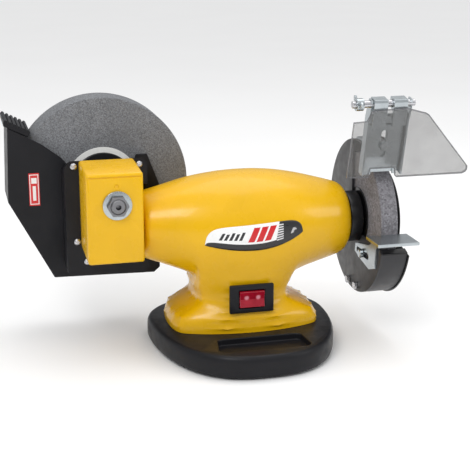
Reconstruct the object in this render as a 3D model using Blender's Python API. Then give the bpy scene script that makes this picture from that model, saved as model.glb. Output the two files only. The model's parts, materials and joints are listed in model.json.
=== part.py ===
"""Combined bench grinder: a dry wheel on the motor shaft and a slow wet stone behind a worm gearbox.

Metres, +Z up. X runs along the motor shaft towards the dry wheel, -Y is the side the user stands on.
Lengths below are written in millimetres and scaled once, in mm().
"""
import math

import bmesh
import bpy
from mathutils import Matrix, Vector
from mathutils.bvhtree import BVHTree

for old in list(bpy.data.objects):
    bpy.data.objects.remove(old, do_unlink=True)

# ---- driving dimensions, millimetres -------------------------------------------------------------
GAP = 0.3                      # clearance between touching pieces
ORIGIN_X, ORIGIN_Y = -4.5, -9.0  # middle of the whole machine, measured from the middle of the motor foot

SHAFT_Z = 141.0                # height of the motor shaft
SHAFT_R = 8.0
MOTOR_LEFT, MOTOR_RIGHT = -117.5, 126.0
END_RISE = 6.0                 # how far the gearbox end of the barrel is raised above the shaft

BASE_TOP = 28.0
BASE_HALF_X, BASE_MID_Y, BASE_FRONT, BASE_REAR = 107.0, 15.0, 150.0, 73.0
FOOT_H = 3.0

STONE_X, STONE_Z = -149.0, 183.0
STONE_R, STONE_WIDTH, STONE_FRONT = 100.0, 40.0, 62.0
AXLE_R = 8.0

WORM_PITCH_R, WHEEL_PITCH_R = 16.5, 25.5
TEETH = 24
WORM_LEAD = 2 * math.pi * WHEEL_PITCH_R / TEETH

COVER_X0, COVER_X1, COVER_Y0, COVER_Y1 = -182.0, -120.0, -50.0, 11.7
CASE_Y0, CASE_Y1 = 12.0, 51.7
TANK_Y0, TANK_Y1 = 52.0, 117.0

WHEEL_X, WHEEL_R, WHEEL_WIDTH = 155.0, 75.0, 20.0
GUARD_X0, GUARD_X1, GUARD_R, SHEET = 141.0, 172.5, 91.0, 2.3

TILT = math.radians(14.0)      # lean of the shield bracket towards the user
LEAN_X, LEAN_Y, LEAN_Z = 151.0, -47.0, 208.0
ROD_UP, ROD_OUT, ROD_R = 82.0, 8.0, 4.0


def mm(*values):
    return Vector(values) * 0.001


# ---- finishes: base colour, roughness, metallic ----------------------------------------------------
YELLOW = ((0.80, 0.52, 0.02), 0.32, 0.0)
BLACK_PLASTIC = ((0.02, 0.02, 0.02), 0.45, 0.0)
BLACK_PAINT = ((0.015, 0.015, 0.016), 0.35, 0.0)
RUBBER = ((0.03, 0.03, 0.03), 0.85, 0.0)
STEEL = ((0.60, 0.60, 0.61), 0.30, 1.0)
ZINC = ((0.70, 0.71, 0.73), 0.28, 1.0)
LAMINATION = ((0.25, 0.25, 0.26), 0.5, 1.0)
COPPER = ((0.72, 0.32, 0.14), 0.35, 1.0)
ALUMINIUM = ((0.72, 0.72, 0.72), 0.4, 1.0)
BRONZE = ((0.62, 0.42, 0.16), 0.35, 1.0)
STONE = ((0.30, 0.31, 0.33), 0.95, 0.0)
DRY_STONE = ((0.27, 0.28, 0.30), 0.95, 0.0)
PAPER = ((0.85, 0.85, 0.82), 0.8, 0.0)
RED = ((0.70, 0.02, 0.02), 0.25, 0.0)
WHITE_LABEL = ((0.86, 0.86, 0.86), 0.4, 0.0)
CLEAR = ((0.86, 0.90, 0.90), 0.05, 0.0)

root = bpy.data.objects.new("grinder_root", None)
bpy.context.collection.objects.link(root)
root.location = -mm(ORIGIN_X, ORIGIN_Y, 0)


def axis_empty(name, x, y, z):
    """Empty that stands on a moving body's joint axis."""
    empty = bpy.data.objects.new(name, None)
    bpy.context.collection.objects.link(empty)
    empty.parent = root
    empty.location = mm(x, y, z)
    return empty


rotor_axis = axis_empty("rotor_axis", 0, 0, SHAFT_Z)
stone_axis = axis_empty("stone_axis", STONE_X, 0, STONE_Z)


# ---- mesh helpers ----------------------------------------------------------------------------------
def on_axis(axis, along, a, b):
    """Point at a distance along X, Y or Z, with the other two coordinates a and b in order."""
    return {"X": mm(along, a, b), "Y": mm(a, along, b), "Z": mm(a, b, along)}[axis]


def prism(points, axis, low, high):
    """Closed outline pushed along an axis from low to high."""
    bm = bmesh.new()
    face = bm.faces.new([bm.verts.new(on_axis(axis, low, a, b)) for a, b in points])
    pushed = bmesh.ops.extrude_face_region(bm, geom=[face])["geom"]
    moved = [v for v in pushed if isinstance(v, bmesh.types.BMVert)]
    bmesh.ops.translate(bm, verts=moved, vec=on_axis(axis, high - low, 0, 0))
    return bm


def turned(profile, axis, centre, steps=24):
    """Solid of revolution; the profile is a closed loop of (along, radius) points."""
    bm = bmesh.new()
    verts = [bm.verts.new(on_axis(axis, along, radius, 0)) for along, radius in profile]
    edges = []
    for i, first in enumerate(verts):
        j = (i + 1) % len(verts)
        if profile[i][1] > 0 or profile[j][1] > 0:
            edges.append(bm.edges.new((first, verts[j])))
    bmesh.ops.spin(bm, geom=verts + edges, cent=(0, 0, 0), axis=on_axis(axis, 1000, 0, 0),
                   angle=2 * math.pi, steps=steps, use_merge=True)
    bmesh.ops.remove_doubles(bm, verts=bm.verts[:], dist=1e-6)
    loose = [v for v in bm.verts if not v.link_faces]
    bmesh.ops.delete(bm, geom=loose, context="VERTS")
    bmesh.ops.translate(bm, verts=bm.verts[:], vec=mm(*centre))
    return bm


def tube(axis, centre, low, high, outer, inner, steps=24, edge=0.0):
    """Ring or bush with broken outer edges."""
    if edge:
        profile = [(low, inner), (low, outer - edge), (low + edge, outer),
                   (high - edge, outer), (high, outer - edge), (high, inner)]
    else:
        profile = [(low, inner), (low, outer), (high, outer), (high, inner)]
    return turned(profile, axis, centre, steps)


def rod(axis, centre, low, high, radius, steps=20, edge=0.6):
    """Solid round bar with broken edges."""
    profile = [(low, 0), (low, radius - edge), (low + edge, radius),
               (high - edge, radius), (high, radius - edge), (high, 0)]
    return turned(profile, axis, centre, steps)


def block(x0, x1, y0, y1, z0, z1, edge=0.0, segments=2):
    bm = bmesh.new()
    bmesh.ops.create_cube(bm, size=1.0)
    bmesh.ops.scale(bm, vec=mm(x1 - x0, y1 - y0, z1 - z0), verts=bm.verts[:])
    bmesh.ops.translate(bm, vec=mm((x0 + x1) / 2, (y0 + y1) / 2, (z0 + z1) / 2), verts=bm.verts[:])
    if edge:
        bmesh.ops.bevel(bm, geom=bm.edges[:], offset=edge * 0.001, segments=segments,
                        profile=0.5, affect="EDGES")
    return bm


def circle(centre_a, centre_b, radius, start=0.0, end=360.0, steps=20):
    """Points on an arc, first and last included unless the circle is whole."""
    whole = abs(end - start) >= 360
    count = steps if whole else steps + 1
    angles = [math.radians(start + (end - start) * i / steps) for i in range(count)]
    return [(centre_a + radius * math.cos(t), centre_b + radius * math.sin(t)) for t in angles]


def leaned(bm):
    """Move a piece drawn around the bracket's own corner into its leaning place."""
    turn = Matrix.Translation(mm(LEAN_X, LEAN_Y, LEAN_Z)) @ Matrix.Rotation(TILT, 4, "X")
    bmesh.ops.transform(bm, matrix=turn, verts=bm.verts[:])
    return bm


def lean_point(x, out, up):
    """World millimetres of a point given by the leaning bracket's own axes."""
    point = Matrix.Rotation(TILT, 3, "X") @ Vector((x, -out, up))
    return Vector((LEAN_X, LEAN_Y, LEAN_Z)) + point


def finish(name, bm, look, parent=None):
    """Turn a bmesh into a named, shaded object with its own material."""
    bmesh.ops.recalc_face_normals(bm, faces=bm.faces[:])
    mesh = bpy.data.meshes.new(name)
    bm.to_mesh(mesh)
    bm.free()
    part = bpy.data.objects.new(name, mesh)
    bpy.context.collection.objects.link(part)
    colour, roughness, metallic = look
    material = bpy.data.materials.new(name)
    material.use_nodes = True
    shader = material.node_tree.nodes["Principled BSDF"]
    shader.inputs["Base Color"].default_value = (*colour, 1.0)
    shader.inputs["Roughness"].default_value = roughness
    shader.inputs["Metallic"].default_value = metallic
    mesh.materials.append(material)
    mesh.shade_smooth()
    mesh.set_sharp_from_angle(angle=math.radians(35))
    holder = parent or root
    part.parent = holder
    if holder is not root:
        part.location = -holder.location
    return part


def combine(part, bm, operation):
    """Join a second shape to a part, or cut it away."""
    bmesh.ops.recalc_face_normals(bm, faces=bm.faces[:])
    mesh = bpy.data.meshes.new("tool")
    bm.to_mesh(mesh)
    bm.free()
    tool = bpy.data.objects.new("tool", mesh)
    bpy.context.collection.objects.link(tool)
    tool.parent = part.parent
    tool.location = part.location
    boolean = part.modifiers.new("combine", "BOOLEAN")
    boolean.operation = operation
    boolean.solver = "EXACT"
    boolean.object = tool
    bpy.context.view_layer.update()
    graph = bpy.context.evaluated_depsgraph_get()
    result = bpy.data.meshes.new_from_object(part.evaluated_get(graph))
    part.modifiers.clear()
    part.data = result
    bpy.data.objects.remove(tool, do_unlink=True)
    result.shade_smooth()
    result.set_sharp_from_angle(angle=math.radians(35))
    return part


def cut(part, bm):
    return combine(part, bm, "DIFFERENCE")


def join(part, bm):
    return combine(part, bm, "UNION")


def hex_head(name, axis, centre, low, high, across, look=STEEL, parent=None, bore=0.0):
    """Six-sided head or nut."""
    corners = circle(centre[0], centre[1], across / math.sqrt(3), steps=6)
    part = finish(name, prism(corners, axis, low, high), look, parent)
    if bore:
        cut(part, prism(circle(centre[0], centre[1], bore, steps=24), axis, low - 1, high + 1))
    return part


# ---- base ------------------------------------------------------------------------------------------
def base_outline(scale, steps=40):
    """Egg-shaped plan, longer towards the user."""
    points = []
    for i in range(steps):
        t = 2 * math.pi * i / steps
        x = BASE_HALF_X * math.copysign(abs(math.cos(t)) ** 0.75, math.cos(t))
        reach = BASE_REAR if math.sin(t) > 0 else BASE_FRONT
        points.append((x * scale, (BASE_MID_Y + reach * math.sin(t) + 24) * scale - 24))
    return points


def base_shell(levels):
    """Stack of the plan outline at (height, scale) levels, closed at both ends."""
    bm = bmesh.new()
    rings = []
    for height, scale in levels:
        rings.append([bm.verts.new(mm(x, y, height)) for x, y in base_outline(scale)])
    for low, high in zip(rings, rings[1:]):
        for i in range(len(low)):
            j = (i + 1) % len(low)
            bm.faces.new((low[i], low[j], high[j], high[i]))
    bm.faces.new(list(reversed(rings[0])))
    bm.faces.new(rings[-1])
    return bm


FEET = [(-70, -60), (70, -60), (-66, 55), (66, 55)]
base_plate = finish("base_plate", base_shell([(FOOT_H, 0.985), (8, 1.0), (22, 1.0), (26.5, 0.985),
                                              (BASE_TOP, 0.955)]), BLACK_PLASTIC)
inside = finish("inside", base_shell([(FOOT_H - 1, 0.955), (17.5, 0.955)]), BLACK_PLASTIC)
for foot_x, foot_y in FEET:
    cut(inside, rod("Z", (foot_x, foot_y, 0), 0, 30, 14, 12, 0.2))
inner = bmesh.new()
inner.from_mesh(inside.data)
bpy.data.objects.remove(inside, do_unlink=True)
cut(base_plate, inner)
TRAY = (circle(-38, -82, 8, 90, 180, 5) + circle(-42, -106, 8, 180, 270, 5)
        + circle(46, -106, 8, 270, 360, 5) + circle(44, -82, 8, 0, 90, 5))
cut(base_plate, prism(TRAY, "Z", 20.5, BASE_TOP + 3))
for number, (foot_x, foot_y) in enumerate(FEET, 1):
    finish(f"rubber_foot_{number}", rod("Z", (foot_x, foot_y, 0), 0, FOOT_H - GAP, 11, 16), RUBBER)


# ---- motor housing: one moulded shell of barrel, neck and foot --------------------------------------
BARREL = [(MOTOR_LEFT, 22), (MOTOR_LEFT, 34), (MOTOR_LEFT + 2, 39), (-104, 42), (-85, 48.5), (-58, 57.5),
          (-20, 64.5), (20, 65), (58, 60), (92, 50.5), (110, 45.5), (119, 42), (MOTOR_RIGHT - 2, 36),
          (MOTOR_RIGHT, 29), (MOTOR_RIGHT, 20)]
# the neck and foot below the barrel: height, left end, right end, half depth
NECK = [(78, -60, 54, 54), (68, -57, 50, 53), (60, -58, 50.5, 53.5), (52, -72, 66, 56.5), (45, -84, 82, 60),
        (34, -88, 88, 61.5), (BASE_TOP + GAP, -88, 88, 62)]
BELLY_HALF = 58                # the neck grows out of the barrel between these stations
AROUND = 16


def barrel_z(x):
    """Height of the barrel's middle: level with the shaft, and higher towards the gearbox."""
    return SHAFT_Z + END_RISE * max(0.0, (-20 - x) / (-20 - MOTOR_LEFT))


def housing_cage():
    """Rings along the shaft; the belly faces are drawn down into the neck and the foot."""
    bm = bmesh.new()
    rings = []
    for x, radius in BARREL:
        ring = []
        for i in range(AROUND):
            t = 2 * math.pi * i / AROUND
            ring.append(bm.verts.new(mm(x, radius * math.cos(t), barrel_z(x) + radius * math.sin(t))))
        rings.append(ring)
    belly = []
    for (left_x, _), left, right in zip(BARREL, rings, rings[1:]):
        for i in range(AROUND):
            j = (i + 1) % AROUND
            face = bm.faces.new((left[i], left[j], right[j], right[i]))
            middle = (i + 0.5) / AROUND
            if -BELLY_HALF <= left_x < BELLY_HALF and abs(middle - 0.75) < 3 / AROUND:
                belly.append(face)
    faces = belly
    corners = {v for f in belly for v in f.verts}
    reach_x = max(abs(v.co.x) for v in corners)
    reach_y = max(abs(v.co.y) for v in corners)
    share = {v: (v.co.x / reach_x, v.co.y / reach_y) for v in corners}
    for height, low_x, high_x, half_y in NECK:
        middle_x, half_x = (low_x + high_x) / 2, (high_x - low_x) / 2
        made = bmesh.ops.extrude_face_region(bm, geom=faces)["geom"]
        bmesh.ops.delete(bm, geom=faces, context="FACES_ONLY")
        faces = [g for g in made if isinstance(g, bmesh.types.BMFace)]
        fresh = {v for f in faces for v in f.verts}
        placed = {}
        for v in fresh:
            near = min(share, key=lambda old: (old.co - v.co).length)
            placed[v] = share[near]
        for v, (sx, sy) in placed.items():
            pull = 1 - 0.2 * abs(sx * sy) ** 3
            v.co = mm(middle_x + sx * half_x * pull, sy * half_y * pull, height)
        share = placed
    bmesh.ops.delete(bm, geom=faces, context="FACES")
    return bm


motor_housing = finish("motor_housing", housing_cage(), YELLOW)
smoother = motor_housing.modifiers.new("rounding", "SUBSURF")
smoother.levels = smoother.render_levels = 1
wall = motor_housing.modifiers.new("wall", "SOLIDIFY")
wall.thickness = 0.003
wall.offset = -1
bpy.context.view_layer.update()
solid = bpy.data.meshes.new_from_object(motor_housing.evaluated_get(bpy.context.evaluated_depsgraph_get()))
motor_housing.modifiers.clear()
motor_housing.data = solid

# square up the underside so the foot sits flat on the base, then open the switch hole
cut(motor_housing, block(-150, 150, -100, 100, 0, BASE_TOP + GAP))
SWITCH_X, SWITCH_Z = -1.5, 68.5
cut(motor_housing, block(SWITCH_X - 21, SWITCH_X + 21, -75, -40, SWITCH_Z - 13, SWITCH_Z + 13))
GLAND_Z = 66.0
cut(motor_housing, rod("Y", (30, 0, GLAND_Z), 40, 75, 8.5, 24))

# ---- motor inside ----------------------------------------------------------------------------------
finish("stator_core", tube("X", (0, 0, SHAFT_Z), -35, 35, 55, 29), LAMINATION)
for side, name in ((-1, "winding_left"), (1, "winding_right")):
    low, high = sorted((side * 35.3, side * 54))
    finish(name, tube("X", (0, 0, SHAFT_Z), low, high, 48, 31, edge=5), COPPER)
finish("end_bell_left", tube("X", (0, 0, SHAFT_Z), -96, -85, 34, 18), ALUMINIUM)
finish("end_bell_right", tube("X", (0, 0, SHAFT_Z), 98, 109, 37, 18), ALUMINIUM)
finish("bearing_left", tube("X", (0, 0, SHAFT_Z), -96, -85, 17.7, SHAFT_R + GAP), STEEL)
finish("bearing_right", tube("X", (0, 0, SHAFT_Z), 98, 109, 17.7, SHAFT_R + GAP), STEEL)
finish("run_capacitor", rod("X", (0, 24, 62), -32, 32, 15, edge=1.5), ALUMINIUM)

# ---- switch ----------------------------------------------------------------------------------------
FACE_Y = -56.5                 # front of the neck around the switch
switch_frame = finish("switch_frame", block(SWITCH_X - 25.5, SWITCH_X + 25.5, FACE_Y - 5, FACE_Y - 0.2,
                                            SWITCH_Z - 16.5, SWITCH_Z + 16.5, 1.2), BLACK_PLASTIC)
join(switch_frame, block(SWITCH_X - 20.5, SWITCH_X + 20.5, FACE_Y - 1.5, FACE_Y + 28,
                         SWITCH_Z - 12.5, SWITCH_Z + 12.5))
cut(switch_frame, block(SWITCH_X - 14.8, SWITCH_X + 14.8, FACE_Y - 8, FACE_Y + 12,
                        SWITCH_Z - 10.6, SWITCH_Z + 10.6))
rocker_axis = axis_empty("rocker_axis", SWITCH_X, FACE_Y + 1, SWITCH_Z)
ROCKER = [(FACE_Y + 6, -4), (FACE_Y - 3.5, -9.6), (FACE_Y - 7, -9.2), (FACE_Y - 5.2, 0),
          (FACE_Y - 7.8, 9.2), (FACE_Y - 4, 9.6), (FACE_Y + 6, 4)]
finish("switch_rocker", prism([(y, SWITCH_Z + z) for y, z in ROCKER], "X",
                              SWITCH_X - 14.3, SWITCH_X + 14.3), RED, rocker_axis)
finish("cable_gland", turned([(50, 4), (50, 8), (62.6, 8), (62.6, 12), (66, 12), (72, 6), (72, 4)],
                             "Y", (30, 0, GLAND_Z), 20), BLACK_PLASTIC)

# ---- shaft and what turns with it -------------------------------------------------------------------
finish("rotor_shaft", rod("X", (0, 0, SHAFT_Z), -176, 175.5, SHAFT_R), STEEL, rotor_axis)
finish("rotor_core", tube("X", (0, 0, SHAFT_Z), -34, 34, 28.4, SHAFT_R + GAP), LAMINATION, rotor_axis)


def ridge(phase, flat, slope):
    """Height from 0 to 1 of a tooth centred on phase 0, as a fraction of the pitch."""
    distance = abs((phase + 0.5) % 1.0 - 0.5)
    return max(0.0, min(1.0, (flat + slope - distance) / slope))


def worm_mesh(low, high, root_r, tip_r, bore, rows=44, around=16):
    """Single-start thread as a round bar whose radius follows the helix."""
    bm = bmesh.new()
    rings = []
    for k in range(rows + 1):
        x = low + (high - low) * k / rows
        fade = min(1.0, min(k, rows - k) / 5)
        ring = []
        for i in range(around):
            t = 2 * math.pi * i / around
            phase = (x - STONE_X) / WORM_LEAD - (t - math.pi / 2) / (2 * math.pi)
            radius = root_r + (tip_r - root_r) * fade * ridge(phase, 0.07, 0.12)
            ring.append(bm.verts.new(mm(x, radius * math.cos(t), SHAFT_Z + radius * math.sin(t))))
        rings.append(ring)
    for end, x in ((0, low), (-1, high)):
        collar = [bm.verts.new(mm(x, bore * math.cos(2 * math.pi * i / around),
                                  SHAFT_Z + bore * math.sin(2 * math.pi * i / around)))
                  for i in range(around)]
        rings.insert(0, collar) if end == 0 else rings.append(collar)
    rings.append(rings[0])
    for left, right in zip(rings, rings[1:]):
        for i in range(around):
            j = (i + 1) % around
            bm.faces.new((left[i], left[j], right[j], right[i]))
    return bm


finish("worm", worm_mesh(-170, -128, WORM_PITCH_R - 2.3, WORM_PITCH_R + 1.2, SHAFT_R + GAP), STEEL, rotor_axis)


def worm_wheel_mesh(low, high, root_r, tip_r, bore, rows=2):
    """Gear whose teeth follow the worm's lead angle; a gap faces the worm at rest."""
    around = TEETH * 6
    helix = WORM_LEAD / (2 * math.pi * WORM_PITCH_R) / WHEEL_PITCH_R
    bm = bmesh.new()
    rings = []
    for k in range(rows + 1):
        y = low + (high - low) * k / rows
        ring = []
        for i in range(around):
            t = -math.pi / 2 + 2 * math.pi * i / around
            phase = (t + math.pi / 2 + y * helix) * TEETH / (2 * math.pi) + 0.5
            radius = root_r + (tip_r - root_r) * ridge(phase, 0.08, 0.14)
            ring.append(bm.verts.new(mm(STONE_X + radius * math.cos(t), y, STONE_Z + radius * math.sin(t))))
        rings.append(ring)
    for end, y in ((0, low), (-1, high)):
        collar = []
        for i in range(around):
            t = -math.pi / 2 + 2 * math.pi * i / around
            collar.append(bm.verts.new(mm(STONE_X + bore * math.cos(t), y, STONE_Z + bore * math.sin(t))))
        rings.insert(0, collar) if end == 0 else rings.append(collar)
    rings.append(rings[0])
    for near, far in zip(rings, rings[1:]):
        for i in range(around):
            j = (i + 1) % around
            bm.faces.new((near[i], near[j], far[j], far[i]))
    return bm


finish("worm_wheel", worm_wheel_mesh(-7, 7, WHEEL_PITCH_R - 2.2, WHEEL_PITCH_R + 1.3, AXLE_R + GAP),
       BRONZE, stone_axis)

# ---- wet side: gearbox ------------------------------------------------------------------------------
cover_bm = block(COVER_X0, COVER_X1, COVER_Y0, COVER_Y1, 117, 221)
for v in cover_bm.verts:
    front = v.co.y < 0
    if v.co.z > 0.2 and front:
        v.co.z = 0.218
    if v.co.z < 0.2 and not front:
        v.co.z = 0.121
bmesh.ops.bevel(cover_bm, geom=[e for e in cover_bm.edges if max(v.co.y for v in e.verts) < 0 or
                                abs(e.verts[0].co.y - e.verts[1].co.y) > 0.01],
                offset=0.003, segments=3, profile=0.5, affect="EDGES")
gearbox_cover = finish("gearbox_cover", cover_bm, YELLOW)
room = block(COVER_X0 + 2.3, COVER_X1 - 1.7, COVER_Y0 + 3, COVER_Y1 + 4, 119.5, 218)
for v in room.verts:
    if v.co.z > 0.2 and v.co.y < 0:
        v.co.z = 0.2155
    if v.co.z < 0.2 and v.co.y > 0:
        v.co.z = 0.123
cut(gearbox_cover, room)
cut(gearbox_cover, rod("X", (0, 0, SHAFT_Z), COVER_X1 - 8, COVER_X1 + 6, 9.5))
cut(gearbox_cover, rod("Y", (STONE_X, 0, STONE_Z), COVER_Y0 - 6, COVER_Y0 + 8, 12.3))
cut(gearbox_cover, rod("Y", (STONE_X, 0, STONE_Z + 20.5), COVER_Y0 - 4, COVER_Y0 + 0.9, 2.6, 20))
cut(gearbox_cover, block(COVER_X0 - 2, COVER_X1 + 2, COVER_Y0 - 2, COVER_Y0 + 0.8, 213.2, 214.4))
finish("front_bush", tube("Y", (STONE_X, 0, STONE_Z), COVER_Y0 - 0.4, COVER_Y0 + 14, 12, AXLE_R + GAP), BRONZE)
finish("gearbox_spigot", tube("X", (0, 0, barrel_z(MOTOR_LEFT)), COVER_X1 + GAP, MOTOR_LEFT - GAP, 31, 16),
       BLACK_PAINT)

def sloping_roof(bm, above=200.0):
    """Lower the roof of an upright prism towards the back, by the same slope everywhere."""
    for v in bm.verts:
        if v.co.z > above * 0.001:
            v.co.z -= 0.277 * (v.co.y - CASE_Y0 * 0.001)
    return bm


CASE = [(-198, 92), (-194, 88), (-112, 86), (-105, 92), (-105, 214), (-109, 221), (-192, 221), (-198, 214)]
gearbox_case = finish("gearbox_case", sloping_roof(prism(CASE, "Y", CASE_Y0, CASE_Y1)), BLACK_PLASTIC)
CASE_ROOM = [(-195, 93), (-193, 91), (-110, 91), (-108, 94), (-108, 212), (-111, 218), (-190, 218), (-195, 212)]
cut(gearbox_case, sloping_roof(prism(CASE_ROOM, "Y", CASE_Y0 + 3, CASE_Y1 + 2)))
join(gearbox_case, rod("Y", (STONE_X, 0, STONE_Z), CASE_Y0 + 1.5, CASE_Y1, 18))
cut(gearbox_case, rod("Y", (STONE_X, 0, STONE_Z), CASE_Y0 - 3, CASE_Y1 + 3, 12.3))
cut(gearbox_case, rod("X", (0, 0, barrel_z(MOTOR_LEFT)), MOTOR_LEFT - 3, -100, 45.5, 32))
cut(gearbox_case, rod("X", (0, 0, SHAFT_Z), -174, -124, 19.5))
finish("rear_bush", tube("Y", (STONE_X, 0, STONE_Z), 22, CASE_Y1 - GAP, 12, AXLE_R + GAP), BRONZE)
for number, (screw_x, screw_z) in enumerate([(-188, 215), (-114.3, 214), (-186.5, 128), (-176, 104)], 1):
    screw = finish(f"case_screw_{number}", turned([(CASE_Y0 - 3.2, 0), (CASE_Y0 - 3.0, 2.2),
                                                   (CASE_Y0 - 1.6, 3.7), (CASE_Y0 - GAP, 3.9),
                                                   (CASE_Y0 - GAP, 0)], "Y", (screw_x, 0, screw_z), 20), STEEL)
    cut(screw, block(screw_x - 3, screw_x + 3, CASE_Y0 - 4, CASE_Y0 - 2.4, screw_z - 0.5, screw_z + 0.5))

# ---- wet side: water tank with its ribbed top ledge --------------------------------------------------
TANK = [(-256, 254), (-259, 168), (-210, 75), (-92, 73), (-85, 79), (-84, 180), (-98, 217), (-111, 217),
        (-114, 208.5), (-190, 208.5), (-197, 217), (-218, 233), (-234, 242.5)]
tank = finish("water_tank", prism(TANK, "Y", TANK_Y0, TANK_Y1), BLACK_PLASTIC)
TANK_ROOM = [(-253, 300), (-256.4, 168.8), (-208.2, 78), (-94, 76.5), (-87, 81), (-87, 104), (-50, 104), (-50, 300)]
cut(tank, prism(TANK_ROOM, "Y", TANK_Y0 + 3, TANK_Y1 - 3))
cut(tank, block(-214, -60, TANK_Y1 - 8, TANK_Y1 + 5, 140, 300))
cut(tank, rod("Y", (STONE_X, 0, STONE_Z), TANK_Y0 - 4, TANK_Y0 + 8, 20))
LEDGE_HIGH, LEDGE_LOW = (-260, 261.5), (-231, 247)
ledge = [LEDGE_HIGH, (-260, 256), (-256.5, 254.5), (-233, 243.1), LEDGE_LOW]
TOOTH_COUNT = 6
for tooth in range(TOOTH_COUNT):
    share = tooth / TOOTH_COUNT
    top_x, top_z = (low + (high - low) * share for low, high in zip(LEDGE_LOW, LEDGE_HIGH))
    ledge += [(top_x - 0.4, top_z + 3.0), (top_x - 2.6, top_z + 4.0), (top_x - 4.2, top_z + 2.3)]
finish("drip_ledge", prism(ledge, "Y", TANK_Y0, TANK_Y1), BLACK_PLASTIC)
finish("tank_label", prism([(-235, 163), (-223, 163), (-223, 201), (-235, 201)], "Y",
                           TANK_Y0 - 0.8, TANK_Y0 - GAP), RED)

# ---- wet side: axle and stone -------------------------------------------------------------------------
AXIS = (STONE_X, 0, STONE_Z)
STONE_BACK = STONE_FRONT + STONE_WIDTH
finish("wet_axle", rod("Y", AXIS, -60, 112, AXLE_R), STEEL, stone_axis)
finish("wet_stone", tube("Y", AXIS, STONE_FRONT, STONE_BACK, STONE_R, AXLE_R + GAP, 48, 1.0), STONE, stone_axis)
finish("stone_blotter", tube("Y", AXIS, STONE_FRONT - 1.1, STONE_FRONT - GAP, 42.5, AXLE_R + GAP, 32, 0.2),
       PAPER, stone_axis)
finish("stone_flange_front", tube("Y", AXIS, STONE_FRONT - 4.6, STONE_FRONT - 1.4, 36.5, AXLE_R + GAP, 32, 1.2),
       BLACK_PAINT, stone_axis)
finish("stone_flange_rear", tube("Y", AXIS, STONE_BACK + GAP, STONE_BACK + 3.2, 36.5, AXLE_R + GAP, 32, 1.2),
       BLACK_PAINT, stone_axis)
hex_head("stone_nut", "Y", (STONE_X, STONE_Z), STONE_BACK + 3.5, 110.5, 24, STEEL, stone_axis, AXLE_R + GAP)
finish("axle_washer", tube("Y", AXIS, -52.6, COVER_Y0 - 0.8, 16, AXLE_R + GAP, 24, 0.5), ZINC, stone_axis)
hex_head("axle_nut", "Y", (STONE_X, STONE_Z), -59, -52.9, 21, STEEL, stone_axis, AXLE_R + GAP)

# ---- dry side: wheel and flanges ------------------------------------------------------------------------
HUB = (0, 0, SHAFT_Z)
wheel_low, wheel_high = WHEEL_X - WHEEL_WIDTH / 2, WHEEL_X + WHEEL_WIDTH / 2
finish("dry_wheel", tube("X", HUB, wheel_low, wheel_high, WHEEL_R, SHAFT_R + GAP, 44, 0.8), DRY_STONE, rotor_axis)
INNER_FLANGE = [(GUARD_X0 + 1.1, SHAFT_R + GAP), (GUARD_X0 + 1.1, 15), (GUARD_X0 + SHEET + GAP, 15),
                (GUARD_X0 + SHEET + GAP, 34), (wheel_low - GAP, 34), (wheel_low - GAP, SHAFT_R + GAP)]
finish("wheel_flange_inner", turned(INNER_FLANGE, "X", HUB, 32), BLACK_PAINT, rotor_axis)
finish("wheel_flange_outer", tube("X", HUB, wheel_high + GAP, wheel_high + 3.3, 26, SHAFT_R + GAP, edge=1.2),
       BLACK_PAINT, rotor_axis)
hex_head("wheel_nut", "X", (0, SHAFT_Z), wheel_high + 3.6, wheel_high + 8.6, 21, STEEL, rotor_axis, SHAFT_R + GAP)

# ---- dry side: guard --------------------------------------------------------------------------------------
def around_wheel(radius, start, end, steps):
    """Arc round the shaft; 180 degrees is straight towards the user, 90 is up."""
    return circle(0, SHAFT_Z, radius, start, end, steps)


LIP, CROWN = -165, 114         # ends of the guard's band, measured the same way
guard_plate = (around_wheel(GUARD_R, LIP, 81, 30) + [(14, SHAFT_Z + 11)]
               + around_wheel(18, 38, -90, 10) + [(-80, SHAFT_Z - 19)])
wheel_guard = finish("wheel_guard", prism(guard_plate, "X", GUARD_X0, GUARD_X0 + SHEET), BLACK_PAINT)
band = around_wheel(GUARD_R, LIP, CROWN, 34) + around_wheel(GUARD_R - SHEET, CROWN, LIP, 34)
join(wheel_guard, prism(band, "X", GUARD_X0 + 0.8, GUARD_X1))
cover_plate = around_wheel(GUARD_R + 1.5, LIP + 2, 96, 32) + around_wheel(58, 105, 200, 14)
guard_cover = finish("guard_cover", prism(cover_plate, "X", GUARD_X1 + GAP, GUARD_X1 + SHEET), BLACK_PAINT)
join(guard_cover, turned([(GUARD_X1 + 0.8, 20), (GUARD_X1 + 0.8, 33), (GUARD_X1 + 4, 32.5), (GUARD_X1 + 9, 27),
                          (GUARD_X1 + 11, 18), (GUARD_X1 + 11.5, 0), (GUARD_X1 + 9.3, 0), (GUARD_X1 + 8.5, 18)],
                         "X", HUB, 28))
cut(guard_cover, rod("X", HUB, GUARD_X1 - 5, GUARD_X1 + 7.5, 22))
join(wheel_guard, tube("X", HUB, MOTOR_RIGHT + GAP, GUARD_X0 + 0.8, 30, 9.5))
for number, (bolt_y, bolt_z) in enumerate([(-12, 58), (14, 58)], 1):
    hex_head(f"guard_bolt_{number}", "X", (bolt_y, bolt_z), GUARD_X0 - 4.5, GUARD_X0 - GAP, 8, STEEL)

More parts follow.
